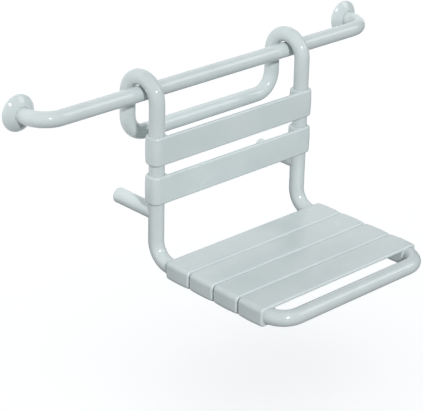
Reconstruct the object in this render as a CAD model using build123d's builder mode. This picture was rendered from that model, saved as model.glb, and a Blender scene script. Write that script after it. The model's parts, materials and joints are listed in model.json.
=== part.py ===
# Hook-in shower seat: a slatted seat on a bent tube frame that hooks over a wall grab rail.
# Millimetres, +Z up. The wall is the plane Y = 0 and the seat reaches towards -Y.
# The origin lies on the wall, midway between the rail's two roses, at the height of the rail's axis.
import os
from math import hypot, sqrt

from build123d import *

os.makedirs("parts", exist_ok=True)

# Tube of the rail and of the seat frame: a nylon sheath over a steel core
tube_diameter = 33.0
sheath_wall = 3.5
core_wall = 2.0
bend_radius = 45.0  # centre line of every bend in the seat frame
layer_gap = 0.15  # round a core in its sheath and a spigot in its core

# Grab rail and what holds it on the wall
rail_length = 922.0  # between the axes of the two wall legs
rail_wall_distance = 74.0  # wall to the rail's axis
rail_bend_radius = 48.0
plate_diameter = 62.0
plate_thickness = 5.0
plate_spigot_length = 20.0
fixing_circle = 46.0  # pitch circle of the wall screws
fixing_count = 3
fixing_hole_diameter = 6.4
fixing_head_diameter = 12.0  # countersink at the plate's face
countersink_angle = 90.0
grub_diameter = 6.0
grub_setback = 6.0  # plate face to the grub screw's axis
grub_sink = 0.6  # end of the grub screw below the tube's surface

# Rose covers
rose_diameter = 76.0
rose_rim = 3.5  # straight side at the wall
rose_height = 16.0
rose_wall = 2.5
rose_rim_round = 4.0  # between the straight side and the dome
rose_lip_width = 1.2  # flat front edge round the tube
rose_lip_round = 2.0
cover_gap = 0.4  # cover to tube

# Seat frame
frame_width = 413.0  # between the upright axes
cross_tube_drop = 106.0  # rail axis to cross tube axis
seat_drop = 353.0  # rail axis to seat tube axis
hook_rest_gap = 0.3  # hook above the rail that it rests on
spigot_reach = 30.0  # spigot into each of the two tubes that it joins

# Slats
slat_wall = 3.4  # ring end round the tube, at its thinnest
slat_crown = 1.3  # how far the slat bulges between its edges
slat_gap = 0.3  # ring end to tube
slat_web = 7.0  # at the slat's edges
slat_edge_round = 5.0
slat_back_round = 2.0
slat_rib_thickness = 4.0
slat_rib_depth = 9.0  # below the web
slat_rib_inset = 15.0  # middle of a rib from the slat's edge
back_slat_height = 62.0
back_slat_drop = 76.5  # rail axis to the upper slat's top edge
back_slat_space = 23.0  # between the two back slats
back_slat_corner = 14.5  # corners of the squarish ring ends
seat_slat_depth = 67.2
seat_slat_space = 3.0
seat_slat_corner = 10.0
seat_slat_count = 4
seat_slat_setback = 7.2  # end of the upright's bend to the first seat slat
front_opening = 19.5  # last seat slat to the front bar
seam_offset = 14.0  # tube seam from the middle of the slat that hides it

# Slat screws
screw_diameter = 4.0
screw_hole_gap = 0.2
screw_head_diameter = 8.0
screw_head_height = 2.6
screw_head_recess = 3.2
screw_head_gap = 0.4
screw_slot_width = 1.2
screw_slot_depth = 1.3
screw_bite = 2.5  # screw into a spigot

# Standoffs
standoff_space = 7.3  # lower back slat to the standoff tube
standoff_seat_gap = 0.2  # saddle end to upright
standoff_floor = 14.0  # wall between the upright and the hollow
standoff_hollow_diameter = 20.0
bolt_diameter = 8.0
bolt_hole_gap = 0.3
bolt_head_diameter = 13.0
bolt_head_height = 8.0
bolt_socket_width = 6.0  # across the flats
bolt_socket_depth = 4.0
bolt_reach = 4.0  # past the upright's axis towards its back, where the bolt ends
buffer_flange = 5.0
buffer_round = 3.0
buffer_plug_length = 16.0
buffer_plug_gap = 0.2

# Radii through the tube
tube_radius = tube_diameter / 2
sheath_bore = tube_radius - sheath_wall
core_radius = sheath_bore - layer_gap
core_bore = core_radius - core_wall
spigot_radius = core_bore - layer_gap

# Places along the frame
rail_half = rail_length / 2
frame_half = frame_width / 2
rail_y = -rail_wall_distance
back_leg_y = rail_y + bend_radius
upright_y = rail_y - bend_radius
hook_z = hook_rest_gap + tube_diameter - bend_radius
upper_slat_z = -back_slat_drop - back_slat_height / 2
lower_slat_z = upper_slat_z - back_slat_height - back_slat_space
standoff_z = lower_slat_z - back_slat_height / 2 - standoff_space - tube_radius
seat_slat_pitch = seat_slat_depth + seat_slat_space
first_slat_y = upright_y - bend_radius - seat_slat_setback - seat_slat_depth / 2
last_slat_y = first_slat_y - (seat_slat_count - 1) * seat_slat_pitch
front_bar_y = last_slat_y - seat_slat_depth / 2 - front_opening - tube_radius
upper_seam_z = upper_slat_z + seam_offset
lower_seam_y = first_slat_y + seam_offset
plate_face_y = -plate_thickness
grub_y = plate_face_y - grub_setback

# Ring ends of the slats
ring_bore = tube_radius + slat_gap
rim_reach = ring_bore + slat_wall
ring_reach = rim_reach + slat_crown
web_back = rim_reach - slat_web

sides = {"left": -1, "right": 1}


def keep(piece, name):
    piece.part.label = name
    export_step(piece.part, f"parts/{name}.step")


def section(path):
    return Plane(origin=path @ 0, z_dir=path % 0)


# Centre lines: straight runs joined by tangent bends
with BuildLine() as rail_line:
    FilletPolyline(
        (-rail_half, plate_face_y, 0),
        (-rail_half, rail_y, 0),
        (rail_half, rail_y, 0),
        (rail_half, plate_face_y, 0),
        radius=rail_bend_radius,
    )

with BuildLine() as seat_loop_line:
    FilletPolyline(
        (-frame_half, lower_seam_y, -seat_drop),
        (-frame_half, front_bar_y, -seat_drop),
        (frame_half, front_bar_y, -seat_drop),
        (frame_half, lower_seam_y, -seat_drop),
        radius=bend_radius,
    )

hook_lines = {}
upright_lines = {}
for hand, side in sides.items():
    x = side * frame_half
    with BuildLine() as hook_line:
        FilletPolyline(
            (0, back_leg_y, -cross_tube_drop),
            (x, back_leg_y, -cross_tube_drop),
            (x, back_leg_y, hook_z),
            radius=bend_radius,
        )
        ThreePointArc((x, back_leg_y, hook_z), (x, rail_y, hook_z + bend_radius), (x, upright_y, hook_z))
        Line((x, upright_y, hook_z), (x, upright_y, upper_seam_z))
    hook_lines[hand] = hook_line.wire()
    with BuildLine() as upright_line:
        FilletPolyline(
            (x, upright_y, upper_seam_z),
            (x, upright_y, -seat_drop),
            (x, lower_seam_y, -seat_drop),
            radius=bend_radius,
        )
    upright_lines[hand] = upright_line.wire()

# Middles of the slats, between the two tubes that carry them
back_slats = {
    "upper_back_slat": (0, upright_y, upper_slat_z),
    "lower_back_slat": (0, upright_y, lower_slat_z),
}
seat_slats = {
    f"seat_slat_{index + 1}": (0, first_slat_y - index * seat_slat_pitch, -seat_drop)
    for index in range(seat_slat_count)
}

# Screw axes: each plane stands on a tube's axis and points towards the screw's head
slat_screw_axes = {}
standoff_axes = {}
grub_axes = {}
for hand, side in sides.items():
    x = side * frame_half
    for name, (_, y, z) in back_slats.items():
        slat_screw_axes[name, hand] = Plane(origin=(x, y, z), z_dir=(0, 1, 0))
    for name, (_, y, z) in seat_slats.items():
        slat_screw_axes[name, hand] = Plane(origin=(x, y, z), z_dir=(0, 0, -1))
    standoff_axes[hand] = Plane(origin=(x, upright_y, standoff_z), z_dir=(0, 1, 0))
    grub_axes[hand] = Plane(origin=(side * rail_half, grub_y, 0), z_dir=(0, 0, -1))
back_screws = [slat_screw_axes[name, hand] for name in back_slats for hand in sides]
seat_screws = [slat_screw_axes[name, hand] for name in seat_slats for hand in sides]

# Every tube: its centre line, the screw axes that pierce it and the radius of those holes
outwards = (Align.CENTER, Align.CENTER, Align.MIN)
screw_hole = screw_diameter / 2 + screw_hole_gap
screw_head_hole = screw_head_diameter / 2 + screw_head_gap
bolt_hole = bolt_diameter / 2 + bolt_hole_gap
grub_hole = grub_diameter / 2 + layer_gap
tubes = {"rail": (rail_line.wire(), [(grub_axes.values(), grub_hole)])}
for hand in sides:
    own_screws = [slat_screw_axes[name, hand] for name in back_slats]
    tubes[f"{hand}_hook"] = (hook_lines[hand], [])
    tubes[f"{hand}_upright"] = (
        upright_lines[hand],
        [(own_screws, screw_hole), ([standoff_axes[hand]], bolt_hole)],
    )
tubes["seat_loop"] = (seat_loop_line.wire(), [(seat_screws, screw_hole)])

layers = {"sheath": (tube_radius, sheath_bore), "core": (core_radius, core_bore)}
for tube_name, (path, holes) in tubes.items():
    for layer, (outer, bore) in layers.items():
        with BuildPart() as tube:
            with BuildSketch(section(path)):
                Circle(outer)
                Circle(bore, mode=Mode.SUBTRACT)
            sweep(path=path)
            for axes, radius in holes:
                with Locations(*axes):
                    Cylinder(radius, tube_diameter, align=outwards, mode=Mode.SUBTRACT)
        keep(tube, f"{tube_name}_{layer}")

# Wall plates: a disc with a spigot for the rail's core and countersunk holes for the wall screws
for hand, side in sides.items():
    wall_side = Plane(origin=(side * rail_half, 0, 0), x_dir=(1, 0, 0), z_dir=(0, -1, 0))
    with BuildPart() as wall_plate:
        with BuildSketch(wall_side):
            Circle(plate_diameter / 2)
        extrude(amount=plate_thickness)
        with BuildSketch(wall_side.offset(plate_thickness)):
            Circle(spigot_radius)
        extrude(amount=plate_spigot_length)
        with Locations(wall_side.offset(plate_thickness)):
            with PolarLocations(fixing_circle / 2, fixing_count, start_angle=90):
                CounterSinkHole(
                    fixing_hole_diameter / 2,
                    fixing_head_diameter / 2,
                    depth=plate_thickness,
                    counter_sink_angle=countersink_angle,
                )
        with Locations(grub_axes[hand]):
            Cylinder(grub_hole, tube_diameter, align=outwards, mode=Mode.SUBTRACT)
    keep(wall_plate, f"{hand}_wall_plate")

# Grub screws: plain ends with a hexagon socket, sunk in the underside of the wall legs
with BuildPart() as rail_grub_screws:
    for axis in grub_axes.values():
        with BuildSketch(axis):
            Circle(grub_diameter / 2)
        extrude(amount=tube_radius - grub_sink)
        with BuildSketch(axis.offset(tube_radius - grub_sink)):
            RegularPolygon(grub_diameter / 4, 6, major_radius=False)
        extrude(amount=-grub_diameter / 2, mode=Mode.SUBTRACT)
keep(rail_grub_screws, "rail_grub_screws")

# Rose covers: a thin-walled dome with a rounded rim, turned, that fits the tube at its front edge
rose_radius = rose_diameter / 2
cover_bore = tube_radius + cover_gap
lip_radius = cover_bore + rose_lip_width
rim_bore = rose_radius - rose_wall
dome_rise = rose_height - rose_rim
dome_base = (rose_radius**2 - lip_radius**2 - dome_rise**2) / (2 * dome_rise)
dome_radius = hypot(rose_radius, dome_base)
hollow_radius = dome_radius - rose_wall
hollow_start = sqrt(hollow_radius**2 - rim_bore**2) - dome_base + rose_rim
hollow_end = sqrt(hollow_radius**2 - cover_bore**2) - dome_base + rose_rim
for hand, side in sides.items():
    turning = Plane(origin=(side * rail_half, 0, 0), x_dir=(1, 0, 0), z_dir=(0, 0, 1))
    with BuildPart() as rose_cover:
        with BuildSketch(turning) as turned:
            with BuildLine():
                Polyline((rim_bore, -hollow_start), (rim_bore, 0), (rose_radius, 0), (rose_radius, -rose_rim))
                RadiusArc((rose_radius, -rose_rim), (lip_radius, -rose_height), dome_radius)
                Polyline(
                    (lip_radius, -rose_height),
                    (cover_bore, -rose_height),
                    (cover_bore, -hollow_end),
                )
                RadiusArc((cover_bore, -hollow_end), (rim_bore, -hollow_start), -hollow_radius)
            make_face()
            rim = turned.vertices().sort_by_distance((rose_radius, -rose_rim))[0]
            fillet(rim, rose_rim_round)
            lip = turned.vertices().sort_by_distance((lip_radius, -rose_height))[0]
            fillet(lip, rose_lip_round)
        revolve(axis=Axis((side * rail_half, 0, 0), (0, 1, 0)))
    keep(rose_cover, f"{hand}_rose_cover")

# Spigots: solid plugs across the tube seams
spigot_places = {
    "cross_spigot": Plane(origin=(0, back_leg_y, -cross_tube_drop), z_dir=(1, 0, 0)),
}
for hand, side in sides.items():
    x = side * frame_half
    spigot_places[f"{hand}_upper_spigot"] = Plane(origin=(x, upright_y, upper_seam_z), z_dir=(0, 0, 1))
    spigot_places[f"{hand}_lower_spigot"] = Plane(origin=(x, lower_seam_y, -seat_drop), z_dir=(0, 1, 0))
for name, place in spigot_places.items():
    with BuildPart() as spigot:
        with BuildSketch(place):
            Circle(spigot_radius)
        extrude(amount=spigot_reach, both=True)
        chamfer(spigot.edges().filter_by(GeomType.CIRCLE), core_wall / 2)
        with Locations(*back_screws, *seat_screws):
            Cylinder(screw_hole, tube_diameter, align=outwards, mode=Mode.SUBTRACT)
    keep(spigot, name)

# Slats: a ribbed web that runs into two squarish ring ends, all crowned, with the tubes' own paths cut out
slats = {}
for name, middle in back_slats.items():
    place = Plane(origin=middle, x_dir=(-1, 0, 0), z_dir=(0, 0, 1))
    slats[name] = (place, back_slat_height, back_slat_corner)
for name, middle in seat_slats.items():
    place = Plane(origin=middle, x_dir=(1, 0, 0), z_dir=(0, -1, 0))
    slats[name] = (place, seat_slat_depth, seat_slat_corner)

tube_rooms = []
for path in (*hook_lines.values(), *upright_lines.values(), seat_loop_line.wire()):
    with BuildPart() as tube_room:
        with BuildSketch(section(path)):
            Circle(ring_bore)
        sweep(path=path)
    tube_rooms.append(tube_room.part)

head_seat = ring_reach - screw_head_recess


def crowned_section(view, length, reach):
    with BuildSketch(view) as crowned:
        with BuildLine():
            Polyline((length / 2, reach), (length / 2, 0), (-length / 2, 0), (-length / 2, reach))
            ThreePointArc((-length / 2, reach), (0, reach + slat_crown), (length / 2, reach))
        make_face()
        edges = crowned.vertices().group_by(Axis.Y)[-1]
        fillet(edges, slat_edge_round)
    return crowned.sketch


for name, (place, length, ring_corner) in slats.items():
    own_screws = [slat_screw_axes[name, hand] for hand in sides]
    ring_flat = rim_reach - ring_corner
    side_view = Plane(origin=place.origin, x_dir=place.z_dir, z_dir=-place.x_dir)

    with BuildPart() as web:
        extrude(crowned_section(side_view, length, rim_reach), amount=frame_half, both=True)
        with BuildSketch(place):
            with Locations((0, web_back)):
                Rectangle(frame_width, 2 * ring_reach, align=(Align.CENTER, Align.MAX))
        extrude(amount=length, both=True, mode=Mode.SUBTRACT)
        long_edges = web.edges().filter_by(Axis(place.origin, place.x_dir))
        fillet(long_edges.group_by(Axis(place.origin, place.y_dir))[0], slat_back_round)

    with BuildPart() as slat:
        for side in sides.values():
            middle = place.origin + place.x_dir * side * frame_half
            for outer in (place.y_dir, place.x_dir, -place.y_dir, -place.x_dir):
                flat_view = Plane(origin=middle, x_dir=place.z_dir, z_dir=place.z_dir.cross(outer))
                extrude(crowned_section(flat_view, length, rim_reach), amount=ring_flat, both=True)
                corner = middle + (outer + flat_view.z_dir) * ring_flat
                corner_view = Plane(origin=corner, x_dir=place.z_dir, z_dir=flat_view.z_dir)
                corner_section = crowned_section(corner_view, length, ring_corner)
                revolve(corner_section, axis=Axis(corner, place.z_dir), revolution_arc=90)
        add(web.part)
        rib_place = length / 2 - slat_rib_inset
        with Locations(place):
            with Locations((0, web_back + slat_web / 2, -rib_place), (0, web_back + slat_web / 2, rib_place)):
                Box(
                    frame_width,
                    slat_web / 2 + slat_rib_depth,
                    slat_rib_thickness,
                    align=(Align.CENTER, Align.MAX, Align.CENTER),
                )
        for room in tube_rooms:
            add(room, mode=Mode.SUBTRACT)
        with Locations(*own_screws):
            Cylinder(screw_hole, tube_diameter, align=outwards, mode=Mode.SUBTRACT)
        with Locations(*[axis.offset(head_seat) for axis in own_screws]):
            Cylinder(screw_head_hole, tube_diameter, align=outwards, mode=Mode.SUBTRACT)
    keep(slat, name)

# Slat screws: a round head with a slot, seated in the ring end, with its tip in the tube
tip = spigot_radius - screw_bite
with BuildPart() as slat_screw:
    with BuildSketch(Plane.XY.offset(tip)):
        Circle(screw_diameter / 2)
    extrude(amount=head_seat - tip)
    with BuildSketch(Plane.XY.offset(head_seat)):
        Circle(screw_head_diameter / 2)
    extrude(amount=screw_head_height)
    head_rim = slat_screw.edges().filter_by(GeomType.CIRCLE).sort_by(Axis.Z)[-1]
    fillet(head_rim, screw_head_height / 3)
    with BuildSketch(Plane.XY.offset(head_seat + screw_head_height)):
        Rectangle(screw_head_diameter, screw_slot_width)
    extrude(amount=-screw_slot_depth, mode=Mode.SUBTRACT)

for name, axes in (("back_slat_screws", back_screws), ("seat_slat_screws", seat_screws)):
    with BuildPart() as screw_set:
        with Locations(*axes):
            add(slat_screw.part)
    keep(screw_set, name)

# Standoffs: a tube saddled on the upright, its bolt, and the soft plug that rests on the wall
standoff_length = -upright_y - buffer_flange
floor_top = tube_radius + standoff_floor
for hand, axis in standoff_axes.items():
    upright_axis = Plane(origin=axis.origin, z_dir=(0, 0, 1))
    with BuildPart() as standoff:
        with BuildSketch(axis):
            Circle(tube_radius)
        extrude(amount=standoff_length)
        with Locations(upright_axis):
            Cylinder(tube_radius + standoff_seat_gap, 2 * tube_diameter, mode=Mode.SUBTRACT)
        with BuildSketch(axis):
            Circle(bolt_hole)
        extrude(amount=standoff_length, mode=Mode.SUBTRACT)
        with BuildSketch(axis.offset(floor_top)):
            Circle(standoff_hollow_diameter / 2)
        extrude(amount=standoff_length, mode=Mode.SUBTRACT)
    keep(standoff, f"{hand}_standoff")

    with BuildPart() as standoff_bolt:
        with BuildSketch(axis.offset(bolt_reach)):
            Circle(bolt_diameter / 2)
        extrude(amount=floor_top - bolt_reach)
        with BuildSketch(axis.offset(floor_top)):
            Circle(bolt_head_diameter / 2)
        extrude(amount=bolt_head_height)
        with BuildSketch(axis.offset(floor_top + bolt_head_height)):
            RegularPolygon(bolt_socket_width / 2, 6, major_radius=False)
        extrude(amount=-bolt_socket_depth, mode=Mode.SUBTRACT)
    keep(standoff_bolt, f"{hand}_standoff_bolt")

    with BuildPart() as wall_buffer:
        with BuildSketch(axis.offset(standoff_length)):
            Circle(tube_radius)
        extrude(amount=buffer_flange)
        fillet(wall_buffer.edges().filter_by(GeomType.CIRCLE).sort_by(Axis.Y)[-1], buffer_round)
        with BuildSketch(axis.offset(standoff_length)):
            Circle(standoff_hollow_diameter / 2 - buffer_plug_gap)
        extrude(amount=-buffer_plug_length)
    keep(wall_buffer, f"{hand}_wall_buffer")
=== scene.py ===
import json
import math

import bpy
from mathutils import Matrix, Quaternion, Vector


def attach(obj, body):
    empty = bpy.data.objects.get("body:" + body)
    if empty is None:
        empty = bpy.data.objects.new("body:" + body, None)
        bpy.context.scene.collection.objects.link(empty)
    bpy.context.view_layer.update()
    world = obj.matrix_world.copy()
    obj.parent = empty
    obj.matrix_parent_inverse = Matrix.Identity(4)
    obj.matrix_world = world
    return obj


# Hook-in shower seat on its wall rail: finishes, fixings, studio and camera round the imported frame.
# Metres, +Z up, the wall is the plane Y = 0.

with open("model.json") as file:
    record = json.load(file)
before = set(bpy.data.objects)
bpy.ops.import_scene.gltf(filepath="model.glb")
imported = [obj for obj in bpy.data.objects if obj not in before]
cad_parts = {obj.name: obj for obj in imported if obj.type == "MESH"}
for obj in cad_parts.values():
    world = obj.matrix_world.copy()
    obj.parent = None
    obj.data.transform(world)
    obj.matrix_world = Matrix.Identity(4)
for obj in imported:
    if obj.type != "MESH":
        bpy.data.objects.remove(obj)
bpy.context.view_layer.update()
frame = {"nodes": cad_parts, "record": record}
nodes = frame["nodes"]
scene = bpy.context.scene

millimetre = 0.001
quarterTurn = math.pi / 2


def hexColour(text):
    channels = [int(text[i:i + 2], 16) / 255 for i in (1, 3, 5)]
    linear = [c / 12.92 if c <= 0.04045 else ((c + 0.055) / 1.055) ** 2.4 for c in channels]
    return (*linear, 1.0)


def addNode(tree, kind, settings=None, links=None):
    node = tree.nodes.new(kind)
    for name, value in (settings or {}).items():
        if hasattr(node, name):
            setattr(node, name, value)
        else:
            node.inputs[name].default_value = value
    for name, source in (links or {}).items():
        tree.links.new(source, node.inputs[name])
    return node


def newMaterial(name):
    material = bpy.data.materials.new(name)
    material.use_nodes = True
    material.node_tree.nodes.clear()
    return material, material.node_tree


def perMetre(sizeInMm):
    return 1 / (sizeInMm * millimetre)  # pattern scale on Object coordinates


# Noise values at which a finish reaches its dark and its light tone, and its lowest and highest roughness
plasticTones = (0.32, 0.68)
metalTones = (0.35, 0.65)
glossSpan = (0.3, 0.7)


def toneRamp(tree, noise, finish, span):
    ramp = addNode(tree, "ShaderNodeValToRGB", links={"Fac": noise})
    for stop, position, tone in zip(ramp.color_ramp.elements, span, ("dark", "light")):
        stop.position = position
        stop.color = hexColour(finish[tone])
    return ramp.outputs["Color"]


def glossRange(tree, noise, finish):
    start, end = glossSpan
    low, high = finish["roughness"]
    gloss = addNode(
        tree, "ShaderNodeMapRange",
        {"From Min": start, "From Max": end, "To Min": low, "To Max": high}, {"Value": noise})
    return gloss.outputs["Result"]


# Polyamide 6, extruded over steel tube: smooth and glossy, a faint ripple breaks up the reflections
tubeNylon = {
    "light": "#C5CECE",
    "dark": "#BEC7C7",
    "mottleMm": 70.0,
    "rippleMm": 5.0,  # really about 1 mm, drawn coarser so that it shows
    "rippleDepthMm": 0.012,
    "roughness": (0.08, 0.13),
    "ior": 1.53,
}

# The same polyamide injection moulded: fine spark-eroded grain, so a softer sheen on the flats
slatNylon = {
    "light": "#C7D0D0",
    "dark": "#BFC9C9",
    "mottleMm": 110.0,
    "rippleMm": 2.2,  # grain of about 0.2 mm, drawn coarser so that it shows
    "rippleDepthMm": 0.02,
    "roughness": (0.2, 0.28),
    "ior": 1.53,
}

# Thermoplastic elastomer, moulded and matt
bufferElastomer = {
    "light": "#C4CCCB",
    "dark": "#BAC3C2",
    "mottleMm": 18.0,
    "rippleMm": 1.5,
    "rippleDepthMm": 0.03,
    "roughness": (0.55, 0.68),
    "ior": 1.5,
}


def mouldedPlastic(name, finish):
    material, tree = newMaterial(name)
    place = addNode(tree, "ShaderNodeTexCoord").outputs["Object"]
    mottle = addNode(
        tree, "ShaderNodeTexNoise",
        {"Scale": perMetre(finish["mottleMm"]), "Detail": 3.0, "Roughness": 0.5}, {"Vector": place}).outputs["Fac"]
    ripple = addNode(
        tree, "ShaderNodeTexNoise",
        {"Scale": perMetre(finish["rippleMm"]), "Detail": 2.0, "Roughness": 0.45}, {"Vector": place}).outputs["Fac"]
    bump = addNode(
        tree, "ShaderNodeBump",
        {"Strength": 1.0, "Distance": finish["rippleDepthMm"] * millimetre}, {"Height": ripple})
    shader = addNode(
        tree, "ShaderNodeBsdfPrincipled", {"IOR": finish["ior"]},
        {"Base Color": toneRamp(tree, mottle, finish, plasticTones),
         "Roughness": glossRange(tree, mottle, finish), "Normal": bump.outputs["Normal"]})
    addNode(tree, "ShaderNodeOutputMaterial", links={"Surface": shader.outputs["BSDF"]})
    return material


# Steel tube and plate, zinc plated: dull grey with a cloudy spangle
zincSteel = {"light": "#A7AAAC", "dark": "#8A8E91", "patternMm": 9.0, "roughness": (0.34, 0.5)}

# Stainless steel fasteners, cold headed: bright with a fine grain
brightSteel = {"light": "#C9CACB", "dark": "#ABADAF", "patternMm": 0.7, "roughness": (0.18, 0.3)}


def plainMetal(name, finish):
    material, tree = newMaterial(name)
    place = addNode(tree, "ShaderNodeTexCoord").outputs["Object"]
    pattern = addNode(
        tree, "ShaderNodeTexNoise",
        {"Scale": perMetre(finish["patternMm"]), "Detail": 4.0, "Roughness": 0.6}, {"Vector": place}).outputs["Fac"]
    shader = addNode(
        tree, "ShaderNodeBsdfPrincipled", {"Metallic": 1.0},
        {"Base Color": toneRamp(tree, pattern, finish, metalTones), "Roughness": glossRange(tree, pattern, finish)})
    addNode(tree, "ShaderNodeOutputMaterial", links={"Surface": shader.outputs["BSDF"]})
    return material


finishes = {
    "tube_nylon": mouldedPlastic("extrudedNylonTube", tubeNylon),
    "slat_nylon": mouldedPlastic("mouldedNylonSlat", slatNylon),
    "buffer_rubber": mouldedPlastic("mouldedElastomerBuffer", bufferElastomer),
    "core_steel": plainMetal("zincPlatedSteel", zincSteel),
    "screw_steel": plainMetal("stainlessFastener", brightSteel),
}
for part in frame["record"]["subparts"]:
    node = nodes[part["node"]]
    node.data.materials.clear()
    node.data.materials.append(finishes[part["material_slot"]])
print("finishes:", len(finishes), "materials on the frame's nodes")

# Wall screws: countersunk heads with a cross recess, three to a wall plate, cut off at the wall's face
wallScrews = {
    "plateSpan": 0.922,  # between the middles of the two wall plates
    "pitchRadius": 0.023,
    "count": 3,
    "roundSides": 48,
    "headRadius": 0.0058,
    "shankRadius": 0.003,
    "headTop": 0.0047,  # from the wall's face
    "headDepth": 0.0028,
    "recessLength": 0.0062,
    "recessWidth": 0.0012,
    "recessDepth": 0.0018,
}


def wallScrewTree(sizes, material):
    tree = bpy.data.node_groups.new("wallScrews", "GeometryNodeTree")
    for name, value in sizes.items():
        kind = "NodeSocketInt" if isinstance(value, int) else "NodeSocketFloat"
        tree.interface.new_socket(name, in_out="INPUT", socket_type=kind)
    tree.interface.new_socket("Geometry", in_out="OUTPUT", socket_type="NodeSocketGeometry")
    given = addNode(tree, "NodeGroupInput").outputs

    def calculate(operation, first, second):
        node = addNode(tree, "ShaderNodeMath", {"operation": operation})
        for socket, value in zip(node.inputs, (first, second)):
            if isinstance(value, float):
                socket.default_value = value
            else:
                tree.links.new(value, socket)
        return node.outputs["Value"]

    def vector(x=None, y=None, z=None):
        chosen = {axis: source for axis, source in (("X", x), ("Y", y), ("Z", z)) if source}
        return addNode(tree, "ShaderNodeCombineXYZ", links=chosen).outputs["Vector"]

    shankTop = calculate("SUBTRACT", given["headTop"], given["headDepth"])
    head = addNode(tree, "GeometryNodeMeshCone", links={
        "Vertices": given["roundSides"], "Radius Top": given["headRadius"],
        "Radius Bottom": given["shankRadius"], "Depth": given["headDepth"]})
    headPlaced = addNode(tree, "GeometryNodeTransform", links={
        "Geometry": head.outputs["Mesh"], "Translation": vector(z=shankTop)})
    # Each arm of the recess is a bar with its lower half in the head
    armHeight = calculate("MULTIPLY", given["recessDepth"], 2.0)
    arm = addNode(tree, "GeometryNodeMeshCube", links={
        "Size": vector(given["recessLength"], given["recessWidth"], armHeight)})
    armPlaced = addNode(tree, "GeometryNodeTransform", links={
        "Geometry": arm.outputs["Mesh"], "Translation": vector(z=given["headTop"])})
    otherArm = addNode(
        tree, "GeometryNodeTransform", {"Rotation": (0, 0, quarterTurn)},
        {"Geometry": armPlaced.outputs["Geometry"]})
    cut = headPlaced.outputs["Geometry"]
    for tool in (armPlaced, otherArm):
        cutting = addNode(tree, "GeometryNodeMeshBoolean", {"operation": "DIFFERENCE"}, {
            "Mesh 1": cut, "Mesh 2": tool.outputs["Geometry"]})
        cut = cutting.outputs["Mesh"]
    shank = addNode(tree, "GeometryNodeMeshCylinder", links={
        "Vertices": given["roundSides"], "Radius": given["shankRadius"], "Depth": shankTop})
    shankPlaced = addNode(tree, "GeometryNodeTransform", links={
        "Geometry": shank.outputs["Mesh"], "Translation": vector(z=calculate("MULTIPLY", shankTop, 0.5))})
    screw = addNode(tree, "GeometryNodeJoinGeometry")
    for piece in (cut, shankPlaced.outputs["Geometry"]):
        tree.links.new(piece, screw.inputs["Geometry"])

    circle = addNode(tree, "GeometryNodeMeshCircle", links={
        "Vertices": given["count"], "Radius": given["pitchRadius"]})
    upright = addNode(
        tree, "GeometryNodeTransform", {"Rotation": (0, 0, quarterTurn)}, {"Geometry": circle.outputs["Mesh"]})
    plate = addNode(tree, "GeometryNodeInstanceOnPoints", links={
        "Points": upright.outputs["Geometry"], "Instance": screw.outputs["Geometry"]})
    plates = addNode(tree, "GeometryNodeMeshLine", {"Count": 2}, {
        "Start Location": vector(calculate("MULTIPLY", given["plateSpan"], -0.5)),
        "Offset": vector(given["plateSpan"])})
    pair = addNode(tree, "GeometryNodeInstanceOnPoints", links={
        "Points": plates.outputs["Mesh"], "Instance": plate.outputs["Instances"]})
    onWall = addNode(
        tree, "GeometryNodeTransform", {"Rotation": (quarterTurn, 0, 0)}, {"Geometry": pair.outputs["Instances"]})
    real = addNode(tree, "GeometryNodeRealizeInstances", links={"Geometry": onWall.outputs["Geometry"]})
    painted = addNode(
        tree, "GeometryNodeSetMaterial", {"Material": material}, {"Geometry": real.outputs["Geometry"]})
    addNode(tree, "NodeGroupOutput", links={"Geometry": painted.outputs["Geometry"]})
    return tree


def meshFromTree(name, tree, sizes):
    source = bpy.data.objects.new(name + "Source", bpy.data.meshes.new(name + "Source"))
    scene.collection.objects.link(source)
    modifier = source.modifiers.new(name, "NODES")
    modifier.node_group = tree
    for socket in tree.interface.items_tree:
        if socket.in_out == "INPUT":
            modifier[socket.identifier] = sizes[socket.name]
    evaluated = source.evaluated_get(bpy.context.evaluated_depsgraph_get())
    mesh = bpy.data.meshes.new_from_object(evaluated)
    source.modifiers.remove(modifier)
    bpy.data.objects.remove(source)
    mesh.name = name
    piece = bpy.data.objects.new(name, mesh)
    scene.collection.objects.link(piece)
    return piece


screws = meshFromTree("wallScrews", wallScrewTree(wallScrews, finishes["screw_steel"]), wallScrews)
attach(screws, "rail")
print("wall screws:", len(screws.data.polygons), "faces")

# Studio: a pale floor, a pale world that is darker below, and sun lamps
studio = {
    "floorHeight": -0.62,
    "floorSide": 600.0,  # so wide that low views see no edge of it
    "floorColour": "#FCFCFC",
    "floorRoughness": 0.9,
    "floorGlow": 0.58,
    "aboveColour": "#F4F8FC",
    "aboveStrength": 0.45,
    "belowColour": "#F6F7F8",
    "belowStrength": 0.30,
    "horizonBand": 0.35,  # the world turns from below to above between minus and plus this height
    "lampDistance": 3.0,  # where the lamps stand; a sun lamp's light is the same at any distance
}

floorMesh = bpy.data.meshes.new("studioFloor")
half = studio["floorSide"] / 2
corners = [(-half, -half), (half, -half), (half, half), (-half, half)]
floorMesh.from_pydata([(x, y, studio["floorHeight"]) for x, y in corners], [], [(0, 1, 2, 3)])
floor = bpy.data.objects.new("studioFloor", floorMesh)
floor.visible_diffuse = False  # the pale floor shows but throws no light up under the seat
floor.visible_glossy = False
scene.collection.objects.link(floor)
floorMaterial, tree = newMaterial("paleStudioFloor")
floorColour = hexColour(studio["floorColour"])
paint = addNode(
    tree, "ShaderNodeBsdfPrincipled",
    {"Base Color": floorColour, "Roughness": studio["floorRoughness"], "Specular IOR Level": 0.0,
     "Emission Color": floorColour, "Emission Strength": studio["floorGlow"]})
addNode(tree, "ShaderNodeOutputMaterial", links={"Surface": paint.outputs["BSDF"]})
floorMesh.materials.append(floorMaterial)

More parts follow.
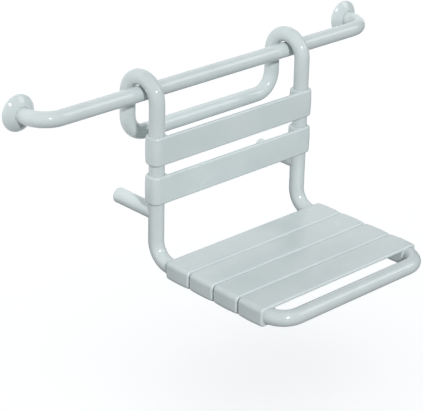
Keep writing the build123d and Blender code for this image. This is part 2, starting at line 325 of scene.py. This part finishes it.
world = bpy.data.worlds.new("paleStudio")
world.use_nodes = True
tree = world.node_tree
tree.nodes.clear()
direction = addNode(tree, "ShaderNodeTexCoord").outputs["Generated"]
axes = addNode(tree, "ShaderNodeSeparateXYZ", links={"Vector": direction}).outputs
share = addNode(
    tree, "ShaderNodeMapRange",
    {"interpolation_type": "SMOOTHSTEP", "From Min": -studio["horizonBand"], "From Max": studio["horizonBand"]},
    {"Value": axes["Z"]})
sky = addNode(tree, "ShaderNodeMixShader", links={"Fac": share.outputs["Result"]})
for socket, side in zip(sky.inputs[1:], ("below", "above")):
    glow = addNode(
        tree, "ShaderNodeBackground",
        {"Color": hexColour(studio[side + "Colour"]), "Strength": studio[side + "Strength"]})
    tree.links.new(glow.outputs["Background"], socket)
addNode(tree, "ShaderNodeOutputWorld", links={"Surface": sky.outputs["Shader"]})
scene.world = world


def fromAngles(azimuth, elevation):
    # direction away from the object: azimuth 0 is the front, 90 the right side
    a = math.radians(azimuth)
    e = math.radians(elevation)
    return Vector((math.sin(a) * math.cos(e), -math.cos(a) * math.cos(e), math.sin(e)))


# The camera lamp's hard shadows fall on the object alone, so it leaves out the floor.
# The streak box shows only in reflections, as a bright line along level tubes and slat edges.
lamps = {
    "overheadBox": {
        "azimuth": 35.0, "elevation": 62.0, "spread": 40.0, "strength": 0.08,
        "shadow": True, "diffuse": True, "floor": True},
    "cameraLamp": {
        "azimuth": -20.0, "elevation": 33.0, "spread": 5.0, "strength": 2.20,
        "shadow": True, "diffuse": True, "floor": False},
    "leftFill": {
        "azimuth": -78.0, "elevation": 5.0, "spread": 70.0, "strength": 0.42,
        "shadow": False, "diffuse": True, "floor": True},
    "streakBox": {
        "azimuth": 48.0, "elevation": 32.0, "spread": 26.0, "strength": 0.38,
        "shadow": False, "diffuse": False, "floor": True},
}
offFloor = bpy.data.collections.new("offFloor")
offFloor.objects.link(floor)
offFloor.collection_objects[0].light_linking.link_state = "EXCLUDE"
for name, lamp in lamps.items():
    light = bpy.data.lights.new(name, "SUN")
    light.energy = lamp["strength"]
    light.angle = math.radians(lamp["spread"])
    light.use_shadow = lamp["shadow"]
    holder = bpy.data.objects.new(name, light)
    away = fromAngles(lamp["azimuth"], lamp["elevation"])
    holder.location = away * studio["lampDistance"]
    holder.rotation_euler = (-away).to_track_quat("-Z", "Y").to_euler()
    scene.collection.objects.link(holder)
    holder.visible_diffuse = lamp["diffuse"]
    if not lamp["floor"]:
        holder.light_linking.receiver_collection = offFloor

# A pale card behind the object, out of the camera's sight, throws light back as a wall would
wallCard = {"width": 1.7, "height": 0.5, "place": (0.0, 0.02, -0.02), "watts": 2.1, "colour": "#FBFBFA"}
card = bpy.data.lights.new("wallCard", "AREA")
card.shape = "RECTANGLE"
card.size = wallCard["width"]
card.size_y = wallCard["height"]
card.energy = wallCard["watts"]
card.color = hexColour(wallCard["colour"])[:3]
cardHolder = bpy.data.objects.new("wallCard", card)
cardHolder.location = wallCard["place"]
cardHolder.rotation_euler = (-quarterTurn, 0, 0)
cardHolder.visible_camera = False
cardHolder.light_linking.receiver_collection = offFloor
scene.collection.objects.link(cardHolder)

# Camera at the photograph's viewing angle
view = {
    "azimuth": -43.704,
    "elevation": 24.505,
    "roll": 1.255,
    "distance": 3.45,
    "aim": (-0.1418, -0.2137, -0.2178),
    "lens": 145.35,
    "sensorWidth": 36.0,
}
camera = bpy.data.cameras.new("viewCamera")
camera.lens = view["lens"]
camera.sensor_width = view["sensorWidth"]
cameraHolder = bpy.data.objects.new("viewCamera", camera)
away = fromAngles(view["azimuth"], view["elevation"])
cameraHolder.location = Vector(view["aim"]) + away * view["distance"]
level = (-away).to_track_quat("-Z", "Y")
cameraHolder.rotation_euler = (level @ Quaternion((0, 0, 1), math.radians(view["roll"]))).to_euler()
scene.collection.objects.link(cameraHolder)
scene.camera = cameraHolder
scene.view_settings.view_transform = "Standard"
print("studio:", len(lamps), "lamps, a card and the camera")
